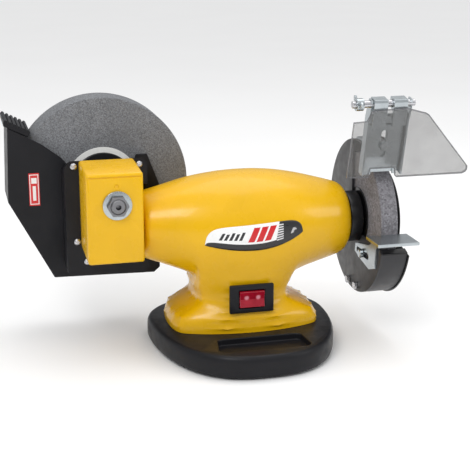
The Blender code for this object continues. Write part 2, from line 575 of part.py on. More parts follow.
# ---- dry side: tool rest --------------------------------------------------------------------------------------
REST_TOP = 138.0
rest_slide = axis_empty("rest_slide", 139.4, -36, 105)
ARM = [(-12, 111), (-10, 101), (-28, 96.5), (-57, 91.5), (-74, 97), (-77, 121), (-98, REST_TOP - 1), (-83, REST_TOP - 1),
       (-56, 120)]
tool_rest = finish("tool_rest", block(125, 173.5, -118, -80, REST_TOP - 3.5, REST_TOP, 0.4, 1), ZINC, rest_slide)
join(tool_rest, prism(ARM, "X", 138.0, 140.7))
cut(tool_rest, prism(circle(-20, 105, 3.6, -90, 90, 8) + circle(-52, 105, 3.6, 90, 270, 8), "X", 130, 145))
finish("rest_screw", turned([(133.2, 0), (133.2, 4.4), (134.0, 5.2), (137.6, 5.2), (137.6, 3.0),
                             (GUARD_X0 - GAP, 3.0), (GUARD_X0 - GAP, 0)], "X", (0, -36, 105), 24), ZINC)

# ---- dry side: leaning bracket, spark deflector and eye shield --------------------------------------------------
bracket = finish("shield_bracket", leaned(block(-24, 24, 0, 2, -5, 66)), ZINC)
for edge_x in (-24, 22):
    join(bracket, leaned(prism([(1.0, -5), (1.0, 70), (-3, ROD_UP + 5), (-ROD_OUT - 4, ROD_UP + 5),
                                (-ROD_OUT - 4, ROD_UP - 8), (-9, 60), (-9, -5)], "X", edge_x, edge_x + 2)))
join(bracket, block(LEAN_X - 8, LEAN_X + 8, -52, 8, 232.4, 234.4))
cut(bracket, leaned(rod("X", (0, -ROD_OUT, ROD_UP), -60, 60, ROD_R + GAP)))
cut(bracket, leaned(prism(circle(0, 44, 2.8, 0, 180, 8) + circle(0, 24, 2.8, 180, 360, 8), "Y", -1, 3)))

deflector_slide = axis_empty("deflector_slide", *lean_point(0, 3, 30))
SHIELD_EDGE = [(-20, -7), (-11, -7), (-11, 2), (-7, 7), (11, 7), (15, 2), (15, -7), (20, -7), (20, 54), (-20, 54)]
deflector = finish("spark_deflector", leaned(prism(SHIELD_EDGE, "Y", -2.3, -GAP)), ZINC, deflector_slide)
cut(deflector, leaned(prism(circle(0, 44, 3.4, 0, 180, 8) + circle(0, 18, 3.4, 180, 360, 8), "Y", -9, 5)))
finish("deflector_screw", leaned(turned([(-6.6, 0), (-6.6, 3.6), (-5.6, 5.2), (-2.6, 5.2), (-2.6, 2.0),
                                         (-GAP, 2.0), (-GAP, 0)], "Y", (0, 0, 29), 24)), ZINC)

shield_axis = axis_empty("shield_axis", *lean_point(0, ROD_OUT, ROD_UP))
finish("hinge_rod", leaned(rod("X", (0, -ROD_OUT, ROD_UP), -45, 28, ROD_R)), STEEL)
SHIELD = [(-46, -2), (-20, -3), (-18, 8), (10, 8), (13, -4), (94, -4), (100, 0), (100, 6), (41, 73), (16, 80),
          (-24, 78), (-29, 66), (-45, 65)]
finish("eye_shield", leaned(prism(SHIELD, "Y", -18.5, -16)), CLEAR, shield_axis)
for name, clamp_x in (("shield_clamp_left", -21.5), ("shield_clamp_right", 1.5)):
    CLAMP = [(-1.5, ROD_UP - 6), (-1.5, ROD_UP + 6), (-14, ROD_UP + 6.5), (-15.7, ROD_UP + 4),
             (-15.7, 58), (-13.4, 58), (-12, ROD_UP - 7)]
    clamp = finish(name, leaned(prism(CLAMP, "X", clamp_x, clamp_x + 16)), ZINC, shield_axis)
    cut(clamp, leaned(rod("X", (0, -ROD_OUT, ROD_UP), -60, 60, ROD_R + GAP)))

WING_X = -36.5
nut_axis = axis_empty("nut_axis", *lean_point(WING_X, ROD_OUT, ROD_UP))
wing_nut = finish("wing_nut", leaned(tube("X", (0, -ROD_OUT, ROD_UP), WING_X - 4, WING_X + 4, 7, ROD_R + GAP, 28)),
                  ZINC, nut_axis)
for side in (-1, 1):
    wing = [(side * 5.5, -2), (side * 12, 1), (side * 13, 5.5), (side * 10, 7), (side * 5.5, 2)]
    join(wing_nut, leaned(prism([(a - ROD_OUT, ROD_UP + b) for a, b in wing], "X", WING_X - 2.5, WING_X)))

# ---- rating plate following the barrel ----------------------------------------------------------------------
bpy.context.view_layer.update()
skin = BVHTree.FromObject(motor_housing, bpy.context.evaluated_depsgraph_get())
label_bm = bmesh.new()
COLUMNS, ROWS = 20, 4
columns = []
for i in range(COLUMNS + 1):
    u = -1 + 2 * i / COLUMNS
    x = 2 + 56 * u
    tip = 133 if u < 0 else 142.5
    top = tip + 1 + (151 + 2.8 * (1 + u) - tip) * (1 - abs(u) ** 8) ** 0.5
    bottom = 125 + 8 * u * u if u < 0 else 142.5 - 17.5 * (1 - u * u) ** 0.9
    column = []
    for j in range(ROWS + 1):
        z = bottom + (top - bottom) * j / ROWS
        hit = skin.ray_cast(mm(x, -200, z), Vector((0, 1, 0)))[0]
        column.append(label_bm.verts.new(hit - mm(0, 0.7, 0)))
    columns.append(column)
for left, right in zip(columns, columns[1:]):
    for j in range(ROWS):
        label_bm.faces.new((left[j], right[j], right[j + 1], left[j + 1]))
bmesh.ops.recalc_face_normals(label_bm, faces=label_bm.faces[:])
if sum(f.normal.y for f in label_bm.faces) > 0:
    bmesh.ops.reverse_faces(label_bm, faces=label_bm.faces[:])
pushed = bmesh.ops.extrude_face_region(label_bm, geom=label_bm.faces[:])["geom"]
bmesh.ops.translate(label_bm, verts=[g for g in pushed if isinstance(g, bmesh.types.BMVert)], vec=mm(0, -0.4, 0))
finish("motor_label", label_bm, WHITE_LABEL)
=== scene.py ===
"""Bench grinder with a dry wheel and a slow wet stone: the visible pieces and their finishes.

Metres, +Z up, X along the motor shaft, the user stands at -Y. Sizes in the code are millimetres.
"""
import json
import math

import bmesh
import bpy
from mathutils import Matrix, Vector
from mathutils.bvhtree import BVHTree


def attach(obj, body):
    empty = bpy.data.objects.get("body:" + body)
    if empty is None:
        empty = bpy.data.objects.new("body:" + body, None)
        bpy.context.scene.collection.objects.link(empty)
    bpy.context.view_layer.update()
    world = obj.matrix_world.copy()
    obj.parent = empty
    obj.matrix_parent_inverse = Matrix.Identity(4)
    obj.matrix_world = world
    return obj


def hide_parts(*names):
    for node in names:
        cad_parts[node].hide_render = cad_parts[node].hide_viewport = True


bl_info = {
    "name": "Wet and Dry Bench Grinder",
    "version": (1, 0, 0),
    "blender": (4, 5, 0),
    "location": "3D View > Sidebar > Grinder",
    "description": "Builds a bench grinder's visible pieces around its working model",
    "category": "Add Mesh",
}

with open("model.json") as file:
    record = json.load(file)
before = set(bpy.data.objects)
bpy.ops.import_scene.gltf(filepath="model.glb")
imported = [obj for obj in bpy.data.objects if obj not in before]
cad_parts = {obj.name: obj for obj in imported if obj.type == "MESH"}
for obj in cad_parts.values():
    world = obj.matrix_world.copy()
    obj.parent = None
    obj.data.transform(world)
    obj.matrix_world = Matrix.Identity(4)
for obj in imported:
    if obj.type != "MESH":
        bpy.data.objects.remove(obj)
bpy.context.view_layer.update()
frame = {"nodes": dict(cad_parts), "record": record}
SLOT_OF = {entry["node"]: entry["material_slot"] for entry in frame["record"]["subparts"]}
BODY_OF = {node: body for body, nodes in frame["record"]["behaviour"]["bodies"].items() for node in nodes}

# the motor foot's middle, seen from the middle of the whole machine
SHIFT_X, SHIFT_Y = 4.5, 9.0
SHAFT_Z = 141.0
STONE_X, STONE_Z = -149.0, 183.0
TILT = math.radians(14.0)
LEAN = Vector((151.0, -47.0, 208.0))
BORE = 8.3                     # inner radius of everything that sits on a shaft


# ---- sizes and colours a user would change ---------------------------------------------------------
class GrinderSizes(bpy.types.PropertyGroup):
    """Rounding, smoothing, grit depth and shield opacity of the visible pieces"""
    housing_smoothing: bpy.props.IntProperty(
        name="Housing Smoothing", description="Subdivision levels of the moulded motor housing",
        default=3, min=1, max=4)
    sheet_edge: bpy.props.FloatProperty(
        name="Sheet Edge", description="Width of the broken edge on sheet metal and small parts",
        default=0.0004, min=0.0001, max=0.002, unit="LENGTH")
    moulding_edge: bpy.props.FloatProperty(
        name="Moulding Edge", description="Rounding on the plastic mouldings' edges",
        default=0.0012, min=0.0002, max=0.003, unit="LENGTH")
    grit_depth: bpy.props.FloatProperty(
        name="Grit Depth", description="Height of the grains on both grinding wheels",
        default=0.0004, min=0.0, max=0.002, unit="LENGTH")
    shield_opacity: bpy.props.FloatProperty(
        name="Shield Opacity", description="How much the clear eye shield hides",
        default=0.34, min=0.05, max=1.0, subtype="FACTOR")


def colour_property(name, description, value):
    return bpy.props.FloatVectorProperty(name=name, description=description, default=value,
                                         size=3, min=0.0, max=1.0, subtype="COLOR")


class GrinderColours(bpy.types.PropertyGroup):
    """Main colours of the machine"""
    paint: colour_property("Paint", "Yellow paint of the housing and gearbox cover", (0.76, 0.43, 0.002))
    plastic: colour_property("Plastic", "Black moulded plastic", (0.009, 0.009, 0.011))
    wet_grit: colour_property("Wet Grit", "Slow water stone", (0.17, 0.175, 0.185))
    dry_grit: colour_property("Dry Grit", "Fast dry wheel", (0.19, 0.185, 0.20))
    zinc: colour_property("Zinc", "Bright plated sheet metal", (0.46, 0.50, 0.52))
    rocker: colour_property("Rocker", "Red switch rocker", (0.36, 0.004, 0.02))


# ---- finishes --------------------------------------------------------------------------------------
class Wire:
    """A node output that takes part in ordinary arithmetic"""

    def __init__(self, finish, socket):
        self.finish, self.socket = finish, socket

    def _math(self, operation, first, second):
        return self.finish.node("ShaderNodeMath", {"operation": operation}, {0: first, 1: second})

    def __add__(self, other):
        return self._math("ADD", self, other)

    __radd__ = __add__

    def __sub__(self, other):
        return self._math("SUBTRACT", self, other)

    def __rsub__(self, other):
        return self._math("SUBTRACT", other, self)

    def __mul__(self, other):
        return self._math("MULTIPLY", self, other)

    __rmul__ = __mul__

    def __gt__(self, other):
        return self._math("GREATER_THAN", self, other)

    def __lt__(self, other):
        return self._math("LESS_THAN", self, other)


class Finish:
    """A material made of nodes around one Principled shader"""

    def __init__(self, name, **constants):
        self.material = bpy.data.materials.new(name)
        self.material.use_nodes = True
        self.tree = self.material.node_tree
        self.shader = self.tree.nodes["Principled BSDF"]
        for key, value in constants.items():
            self.shader.inputs[socket_name(key)].default_value = value

    def node(self, kind, settings=None, sockets=None, output=0):
        made = self.tree.nodes.new(kind)
        for key, value in (settings or {}).items():
            setattr(made, key, value)
        for key, value in (sockets or {}).items():
            if isinstance(value, Wire):
                self.tree.links.new(value.socket, made.inputs[key])
            else:
                made.inputs[key].default_value = value
        return Wire(self, made.outputs[output])

    def feed(self, **wires):
        for key, wire in wires.items():
            self.tree.links.new(wire.socket, self.shader.inputs[socket_name(key)])

    def place(self, stretch=(1, 1, 1)):
        """Object coordinates, stretched along the axes"""
        plain = self.node("ShaderNodeTexCoord", output=3)
        return self.node("ShaderNodeMapping", {}, {"Vector": plain, "Scale": stretch})

    def noise(self, scale, detail=3.0, rough=0.5, stretch=(1, 1, 1)):
        return self.node("ShaderNodeTexNoise", {}, {"Vector": self.place(stretch), "Scale": scale,
                                                    "Detail": detail, "Roughness": rough})

    def cells(self, scale, output=0):
        return self.node("ShaderNodeTexVoronoi", {}, {"Vector": self.place(), "Scale": scale}, output)

    def ramp(self, value, low, high, to_low=0.0, to_high=1.0):
        return self.node("ShaderNodeMapRange", {}, {0: value, 1: low, 2: high, 3: to_low, 4: to_high})

    def mix(self, factor, first, second):
        return self.node("ShaderNodeMix", {"data_type": "RGBA"},
                         {0: factor, 6: opaque(first), 7: opaque(second)}, output=2)

    def bump(self, height, distance, strength=1.0):
        self.feed(normal=self.node("ShaderNodeBump", {},
                                   {"Height": height, "Distance": distance, "Strength": strength}))

    def axes(self):
        """The three Object coordinates as separate values"""
        place = self.node("ShaderNodeTexCoord", output=3)
        return [self.node("ShaderNodeSeparateXYZ", {}, {0: place}, output=i) for i in range(3)]


def socket_name(key):
    return key.replace("_", " ").title().replace("Ior", "IOR")


def opaque(colour):
    return colour if isinstance(colour, Wire) else (*colour[:3], 1.0)


def shade(colour, factor):
    return tuple(min(1.0, channel * factor) for channel in colour)


def paint_finish(name, colour, rough=0.27, peel=0.00006):
    finish = Finish(name, coat_weight=0.15, coat_roughness=0.06, specular_ior_level=0.3)
    tone = finish.noise(14, 3)
    finish.feed(base_color=finish.mix(finish.ramp(tone, 0.3, 0.7), shade(colour, 0.93), shade(colour, 1.06)),
                roughness=finish.ramp(finish.noise(55, 4), 0.3, 0.7, rough - 0.04, rough + 0.06))
    finish.bump(finish.noise(900, 2), peel, 0.35)
    return finish.material


def moulding_finish(name, colour, rough=0.42, grain=1400, shine=0.5):
    finish = Finish(name, specular_ior_level=shine)
    tone = finish.noise(25, 4)
    finish.feed(base_color=finish.mix(tone, shade(colour, 0.8), shade(colour, 1.5)),
                roughness=finish.ramp(finish.noise(90, 5), 0.3, 0.7, rough - 0.06, rough + 0.09))
    finish.bump(finish.cells(grain), 0.00005, 0.4)
    return finish.material


def metal_finish(name, colour, rough, grain=(1, 1, 1), scale=350, cloud=0.12):
    finish = Finish(name, metallic=1.0)
    cloudy = finish.ramp(finish.noise(60, 4), 0.3, 0.7)
    brush = finish.noise(scale, 4, 0.6, grain)
    finish.feed(base_color=finish.mix(cloudy, shade(colour, 1 - cloud), shade(colour, 1 + cloud)),
                roughness=finish.ramp(brush, 0.3, 0.7, rough - 0.06, rough + 0.1))
    finish.bump(brush, 0.00003, 0.5)
    return finish.material


def grit_finish(name, colour, grain, depth):
    """Bonded abrasive: pale and dark grains standing out of a grey bond"""
    finish = Finish(name)
    fleck = finish.cells(grain, output=1)
    level = finish.node("ShaderNodeRGBToBW", {}, {0: fleck})
    fine = finish.noise(grain * 1.7, 4, 0.7)
    cloud = finish.noise(18, 3)
    grains = finish.ramp(level * 0.6 + fine * 0.4, 0.25, 0.75)
    body = finish.mix(grains, shade(colour, 0.62), shade(colour, 1.5))
    finish.feed(base_color=finish.mix(finish.ramp(cloud, 0.35, 0.7, 0.0, 0.25), body, shade(colour, 0.75)),
                roughness=finish.ramp(fine, 0.3, 0.7, 0.82, 0.98))
    finish.bump(finish.cells(grain) * 0.6 + fine * 0.5, depth, 0.9)
    return finish.material


def card_finish(name):
    finish = Finish(name)
    fibre = finish.noise(420, 5, 0.7, (1, 1, 0.4))
    finish.feed(base_color=finish.mix(fibre, (0.70, 0.70, 0.67), (0.9, 0.9, 0.88)),
                roughness=finish.ramp(fibre, 0.3, 0.7, 0.75, 0.9))
    finish.bump(fibre, 0.00006)
    return finish.material


def rocker_finish(colour):
    """Red translucent rocker with two painted pale pink highlights"""
    finish = Finish("rocker_red", coat_weight=0.6, coat_roughness=0.05)
    x, _, z = finish.axes()
    # two round pale spots are painted on the rocker as highlights; spot collects this painted-highlight mask
    spot = None
    for centre in (-8.0, 5.5):
        away_x = x - (centre + SHIFT_X) * 0.001
        away_z = z - 0.0705
        painted_glint = 1 - finish.ramp(away_x * away_x + away_z * away_z, 0.0000015, 0.00001)
        spot = painted_glint if spot is None else spot + painted_glint
    clouds = finish.noise(120, 3)
    body = finish.mix(clouds, shade(colour, 0.75), shade(colour, 1.2))
    # the pale pink colour mixed over the red body is a painted highlight
    finish.feed(base_color=finish.mix(spot * 0.75, body, (0.95, 0.42, 0.50)),
                roughness=finish.ramp(clouds, 0.3, 0.7, 0.16, 0.26))
    return finish.material


def rating_finish():
    """Printed plate: white field, red middle, black end with pale stripes, and no lettering"""
    finish = Finish("rating_print")
    chart = finish.node("ShaderNodeUVMap", {"uv_map": "print"})
    u, v = (finish.node("ShaderNodeSeparateXYZ", {}, {0: chart}, output=i) for i in range(2))

    def panel(u0, u1, v0, v1, slant=0.0):
        along = u - v * slant
        return (along > u0) * (along < u1) * (v > v0) * (v < v1)

    def whole(*masks):
        return finish.node("ShaderNodeClamp", {}, {0: sum(masks)})

    crescent = 1 - ((v - 0.14) > (u - 0.45) * (u - 0.45) * 0.3 + 0.12)
    dark_end = (u - v * 0.05) > 0.70
    bars = [panel(0.08 + 0.05 * i, 0.11 + 0.05 * i, 0.42, 0.74 - 0.05 * (i % 2), 0.12) for i in range(5)]
    red = [panel(0.38 + 0.085 * i, 0.445 + 0.085 * i, 0.34, 0.88, 0.12) for i in range(3)]
    stripes = [panel(0.72, 0.79, 0.24 + 0.1 * i, 0.29 + 0.1 * i) for i in range(7)]
    marks = [panel(0.83, 0.86, 0.35, 0.62, 0.1), panel(0.89, 0.93, 0.48, 0.56)]
    ink = finish.noise(300, 3)
    dark = (0.02, 0.02, 0.022)
    ground = finish.mix(ink, (0.84, 0.84, 0.83), (0.92, 0.92, 0.91))
    ground = finish.mix(whole(*bars), ground, dark)
    ground = finish.mix(whole(*red), ground, (0.60, 0.012, 0.015))
    ground = finish.mix(whole(dark_end, crescent), ground, dark)
    ground = finish.mix(whole(*stripes) * 0.9, ground, (0.8, 0.8, 0.8))
    ground = finish.mix(whole(*marks) * 0.6, ground, (0.8, 0.8, 0.8))
    finish.feed(base_color=ground, roughness=finish.ramp(ink, 0.3, 0.7, 0.26, 0.38))
    return finish.material


def tank_print_finish():
    """Upright red sticker with a pale frame and plain bars"""
    finish = Finish("tank_print")
    x, _, z = finish.axes()
    middle_x, middle_z = (-229 + SHIFT_X) * 0.001, 0.182

    def panel(half_x, low, high):
        beside = (x > middle_x - half_x) * (x < middle_x + half_x)
        return beside * (z > middle_z + low) * (z < middle_z + high)

    frame_line = panel(0.0051, -0.0175, 0.0175) - panel(0.0042, -0.0166, 0.0166)
    bars = panel(0.0018, -0.013, 0.004) + panel(0.003, 0.007, 0.0135)
    ink = finish.noise(400, 3)
    ground = finish.mix(ink, (0.60, 0.02, 0.02), (0.74, 0.03, 0.03))
    finish.feed(base_color=finish.mix(frame_line + bars, ground, (0.88, 0.86, 0.84)),
                roughness=finish.ramp(ink, 0.3, 0.7, 0.28, 0.4))
    return finish.material


def clear_finish(name, colour, alpha, rough):
    finish = Finish(name)
    haze = finish.noise(35, 4)
    finish.feed(base_color=finish.mix(haze, shade(colour, 0.96), colour),
                roughness=finish.ramp(haze, 0.3, 0.7, rough, rough + 0.05),
                alpha=finish.ramp(haze, 0.3, 0.7, alpha * 0.9, alpha * 1.1))
    return finish.material


def all_finishes():
    """Every material of the machine, keyed by the record's slots and by the extra ones used here"""
    tint, sizes = bpy.context.scene.grinder_colours, bpy.context.scene.grinder_sizes
    plastic, zinc = tuple(tint.plastic), tuple(tint.zinc)
    return {
        "yellow_paint": paint_finish("yellow_paint", tuple(tint.paint)),
        "black_plastic": moulding_finish("black_plastic", plastic, 0.4, shine=0.22),
        "black_paint": paint_finish("black_paint", (0.006, 0.006, 0.007), 0.3, 0.0001),
        "guard_paint": moulding_finish("guard_paint", (0.030, 0.030, 0.033), 0.38, 700, 0.35),
        "dark_steel": metal_finish("dark_steel", (0.22, 0.22, 0.23), 0.34, (1, 1, 1), 900),
        "foot_rubber": moulding_finish("foot_rubber", (0.03, 0.03, 0.03), 0.8, 700),
        "steel": metal_finish("turned_steel", (0.58, 0.58, 0.60), 0.26, (1, 1, 6)),
        "zinc": metal_finish("zinc_plate", zinc, 0.26, (1, 1, 5), 1500, 0.08),
        "lamination": metal_finish("stacked_steel", (0.25, 0.25, 0.26), 0.5, (30, 1, 1), 90),
        "copper": metal_finish("wound_copper", (0.72, 0.32, 0.14), 0.35, (1, 8, 8), 120),
        "aluminium": metal_finish("cast_aluminium", (0.70, 0.70, 0.71), 0.42, (1, 1, 1), 500),
        "bronze": metal_finish("bronze", (0.62, 0.42, 0.16), 0.34, (1, 4, 1), 300),
        "wet_grit": grit_finish("wet_stone_grit", tuple(tint.wet_grit), 900, sizes.grit_depth),
        "dry_grit": grit_finish("dry_wheel_grit", tuple(tint.dry_grit), 520, sizes.grit_depth * 1.3),
        "blotter_paper": card_finish("blotter_card"),
        "red_plastic": rocker_finish(tuple(tint.rocker)),
        "red_label": tank_print_finish(),
        "rating_label": rating_finish(),
        "clear_shield": clear_finish("clear_shield", (0.16, 0.155, 0.15), sizes.shield_opacity, 0.05),
        "shield_edge": clear_finish("shield_edge", (0.16, 0.16, 0.17), 0.72, 0.2),
    }


FINISH = {}


# ---- mesh tools ------------------------------------------------------------------------------------
def mm(x, y, z):
    return Vector((x, y, z)) * 0.001


def spot(x, y, z):
    """A point measured from the middle of the motor foot, in the machine's own frame"""
    return mm(x + SHIFT_X, y + SHIFT_Y, z)


def on_axis(axis, along, a, b):
    return {"X": mm(along, a, b), "Y": mm(a, along, b), "Z": mm(a, b, along)}[axis]


def arc(centre_a, centre_b, radius, start, end, steps):
    turns = [math.radians(start + (end - start) * i / steps) for i in range(steps + 1)]
    return [(centre_a + radius * math.cos(t), centre_b + radius * math.sin(t)) for t in turns]


def prism(points, axis, low, high, edge=0.0):
    """Outline pushed along an axis, with its two rims bevelled"""
    bm = bmesh.new()
    base = bm.faces.new([bm.verts.new(on_axis(axis, low, a, b)) for a, b in points])
    pushed = bmesh.ops.extrude_face_region(bm, geom=[base])["geom"]
    bmesh.ops.translate(bm, verts=[g for g in pushed if isinstance(g, bmesh.types.BMVert)],
                        vec=on_axis(axis, high - low, 0, 0))
    bmesh.ops.recalc_face_normals(bm, faces=bm.faces[:])
    if edge:
        rims = [e for e in bm.edges if any(len(f.verts) > 4 or len(bm.faces) == 6 for f in e.link_faces)]
        bmesh.ops.bevel(bm, geom=rims, offset=edge * 0.001, segments=3, profile=0.5,
                        affect="EDGES", material=-1, clamp_overlap=True)
    return bm


def turned(profile, axis, centre, steps=96):
    """Closed profile of (along, radius) points spun about an axis"""
    bm = bmesh.new()
    verts = [bm.verts.new(on_axis(axis, along, radius, 0)) for along, radius in profile]
    edges = []
    for i, first in enumerate(verts):
        j = (i + 1) % len(verts)
        if profile[i][1] > 0 or profile[j][1] > 0:
            edges.append(bm.edges.new((first, verts[j])))
    bmesh.ops.spin(bm, geom=verts + edges, cent=(0, 0, 0), axis=on_axis(axis, 1000, 0, 0),
                   angle=2 * math.pi, steps=steps, use_merge=True)
    bmesh.ops.remove_doubles(bm, verts=bm.verts[:], dist=1e-6)
    bmesh.ops.delete(bm, geom=[v for v in bm.verts if not v.link_faces], context="VERTS")
    bmesh.ops.translate(bm, verts=bm.verts[:], vec=mm(*centre))
    bmesh.ops.recalc_face_normals(bm, faces=bm.faces[:])
    return bm


def ring(axis, centre, low, high, outer, inner, edge=0.6, steps=96):
    """Washer, flange or wheel with rounded rims"""
    profile = [(low, inner), *arc(low + edge, outer - edge, edge, 180, 90, 3),
               *arc(high - edge, outer - edge, edge, 90, 0, 3), (high, inner)]
    return turned(profile, axis, centre, steps)


def block(x0, x1, y0, y1, z0, z1):
    bm = bmesh.new()
    bmesh.ops.create_cube(bm, size=1.0)
    bmesh.ops.scale(bm, vec=mm(x1 - x0, y1 - y0, z1 - z0), verts=bm.verts[:])
    bmesh.ops.translate(bm, vec=mm((x0 + x1) / 2, (y0 + y1) / 2, (z0 + z1) / 2), verts=bm.verts[:])
    return bm


def leaned(bm):
    """Turn a piece drawn around the bracket's corner into its leaning place"""
    turn = Matrix.Translation(LEAN * 0.001) @ Matrix.Rotation(TILT, 4, "X")
    bmesh.ops.transform(bm, matrix=turn, verts=bm.verts[:])
    return bm


def publish(name, bm, slot, body, replaces=(), smooth_angle=35):
    """Place a finished bmesh in the machine's frame, on its body, with its finish"""
    bmesh.ops.translate(bm, verts=bm.verts[:], vec=mm(SHIFT_X, SHIFT_Y, 0))
    mesh = bpy.data.meshes.new(name)
    bm.to_mesh(mesh)
    bm.free()
    piece = bpy.data.objects.new(name, mesh)
    bpy.context.scene.collection.objects.link(piece)
    mesh.materials.append(FINISH[slot])
    mesh.shade_smooth()
    mesh.set_sharp_from_angle(angle=math.radians(smooth_angle))
    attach(piece, body)
    if replaces:
        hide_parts(*replaces)
    return piece


SHARP = 32                     # degrees between two faces from which their edge is rounded


def edged_copy(node, width, slot=None, segments=3):
    """A CAD node's own shape with its loose triangles merged and its sharp edges rounded"""
    bm = bmesh.new()
    bm.from_mesh(frame["nodes"][node].data)
    bmesh.ops.remove_doubles(bm, verts=bm.verts[:], dist=2e-6)
    bmesh.ops.dissolve_limit(bm, angle_limit=math.radians(1.0), verts=bm.verts[:], edges=bm.edges[:])
    bmesh.ops.translate(bm, verts=bm.verts[:], vec=mm(-SHIFT_X, -SHIFT_Y, 0))
    piece = publish(node + "_piece", bm, slot or SLOT_OF[node], BODY_OF[node], (node,))
    rounding = piece.modifiers.new("rounding", "BEVEL")
    rounding.width, rounding.segments = width, segments
    rounding.limit_method, rounding.angle_limit = "ANGLE", math.radians(SHARP)
    rounding.harden_normals = True
    return piece


def cut(piece, bm):
    """Cut a shape out of a piece for good"""
    bmesh.ops.translate(bm, verts=bm.verts[:], vec=mm(SHIFT_X, SHIFT_Y, 0))
    mesh = bpy.data.meshes.new("cutter")
    bm.to_mesh(mesh)
    bm.free()
    cutter = bpy.data.objects.new("cutter", mesh)
    bpy.context.scene.collection.objects.link(cutter)
    opening = piece.modifiers.new("opening", "BOOLEAN")
    opening.operation, opening.solver, opening.object = "DIFFERENCE", "EXACT", cutter
    settle(piece)
    bpy.data.objects.remove(cutter, do_unlink=True)


def settle(piece, smooth_angle=35):
    """Make a piece's modifiers part of its mesh"""
    bpy.context.view_layer.update()
    made = bpy.data.meshes.new_from_object(piece.evaluated_get(bpy.context.evaluated_depsgraph_get()))
    piece.modifiers.clear()
    piece.data = made
    made.shade_smooth()
    made.set_sharp_from_angle(angle=math.radians(smooth_angle))


# ---- base ------------------------------------------------------------------------------------------
def egg(x, y, scale):
    """Push a point of the unit circle out to the base's plan, longer towards the user"""
    reach = 73.0 if y > 0 else 150.0
    wide = 107.0 * math.copysign(abs(x) ** 0.75, x)
    return wide * scale, (15.0 + reach * y + 24) * scale - 24


def base_levels(levels, steps=96):
    """Circle extruded upwards, each ring pushed out to the egg-shaped plan at its own scale"""
    bm = bmesh.new()
    bmesh.ops.create_circle(bm, cap_ends=True, segments=steps, radius=1.0)
    face = bm.faces[:][0]
    home = {v: v.co.xy.copy() for v in bm.verts}
    for number, (height, scale) in enumerate(levels):
        if number:
            above = {v: home[v] for v in face.verts}
            old = face
            pushed = bmesh.ops.extrude_face_region(bm, geom=[face])["geom"]
            face = next(g for g in pushed if isinstance(g, bmesh.types.BMFace))
            if number > 1 and old.is_valid:
                bmesh.ops.delete(bm, geom=[old], context="FACES_ONLY")
            home = {v: above[min(above, key=lambda low: (low.co - v.co).length)] for v in face.verts}
        for v, (x, y) in home.items():
            v.co = mm(*egg(x, y, scale), height)
    bmesh.ops.recalc_face_normals(bm, faces=bm.faces[:])
    return bm


class GRINDER_OT_base(bpy.types.Operator):
    """Moulded base with its parts tray and hollow underside"""
    bl_idname = "grinder.base"
    bl_label = "Base"

    def execute(self, context):
        shell = [(3.0, 0.975), (3.6, 0.985), (6, 0.995), (9, 1.0), (20, 1.0), (23.5, 0.996), (26, 0.986),
                 (27.4, 0.972), (28, 0.955)]
        base = publish("base_moulding", base_levels(shell), "black_plastic", "machine", ("base_plate",))
        cut(base, base_levels([(2, 0.955), (17.5, 0.95)]))
        tray = (arc(-38, -82, 8, 90, 180, 10) + arc(-42, -106, 8, 180, 270, 10)
                + arc(46, -106, 8, 270, 360, 10) + arc(44, -82, 8, 0, 90, 10))
        cut(base, prism(tray[::-1], "Z", 20.5, 31))
        rim = base.modifiers.new("rounding", "BEVEL")
        rim.width, rim.segments, rim.limit_method = context.scene.grinder_sizes.moulding_edge, 3, "ANGLE"
        rim.angle_limit = math.radians(50)
        return {"FINISHED"}


# ---- motor housing -----------------------------------------------------------------------------------
# the barrel along the shaft: place, radius
BARREL = [(-117.5, 22), (-117.5, 34), (-115.5, 39), (-104, 42), (-85, 48.5), (-58, 57.5), (-20, 64.5),
          (20, 65), (58, 60), (92, 50.5), (110, 45.5), (119, 42), (124, 36), (126, 29), (126, 20)]
# the neck and foot below it: height, left end, right end, half depth
NECK = [(78, -60, 54, 54), (68, -57, 50, 53), (60, -58, 50.5, 53.5), (52, -72, 66, 56.5), (45, -84, 82, 60),
        (34, -88, 88, 61.5), (28.3, -88, 88, 62)]
AROUND = 16                    # corners of each ring of the barrel
END_RISE = 6.0                 # how far the gearbox end is raised above the shaft
RISE_FROM = -20.0              # where the rise starts
BELLY_HALF = 58.0              # the neck grows out of the barrel between these stations
BELLY_SPREAD = 68              # and within this many degrees of straight down
WALL = 3.0


def barrel_z(x):
    """Height of the barrel's middle: level with the shaft, and higher towards the gearbox"""
    return SHAFT_Z + END_RISE * max(0.0, (RISE_FROM - x) / (RISE_FROM - BARREL[0][0]))


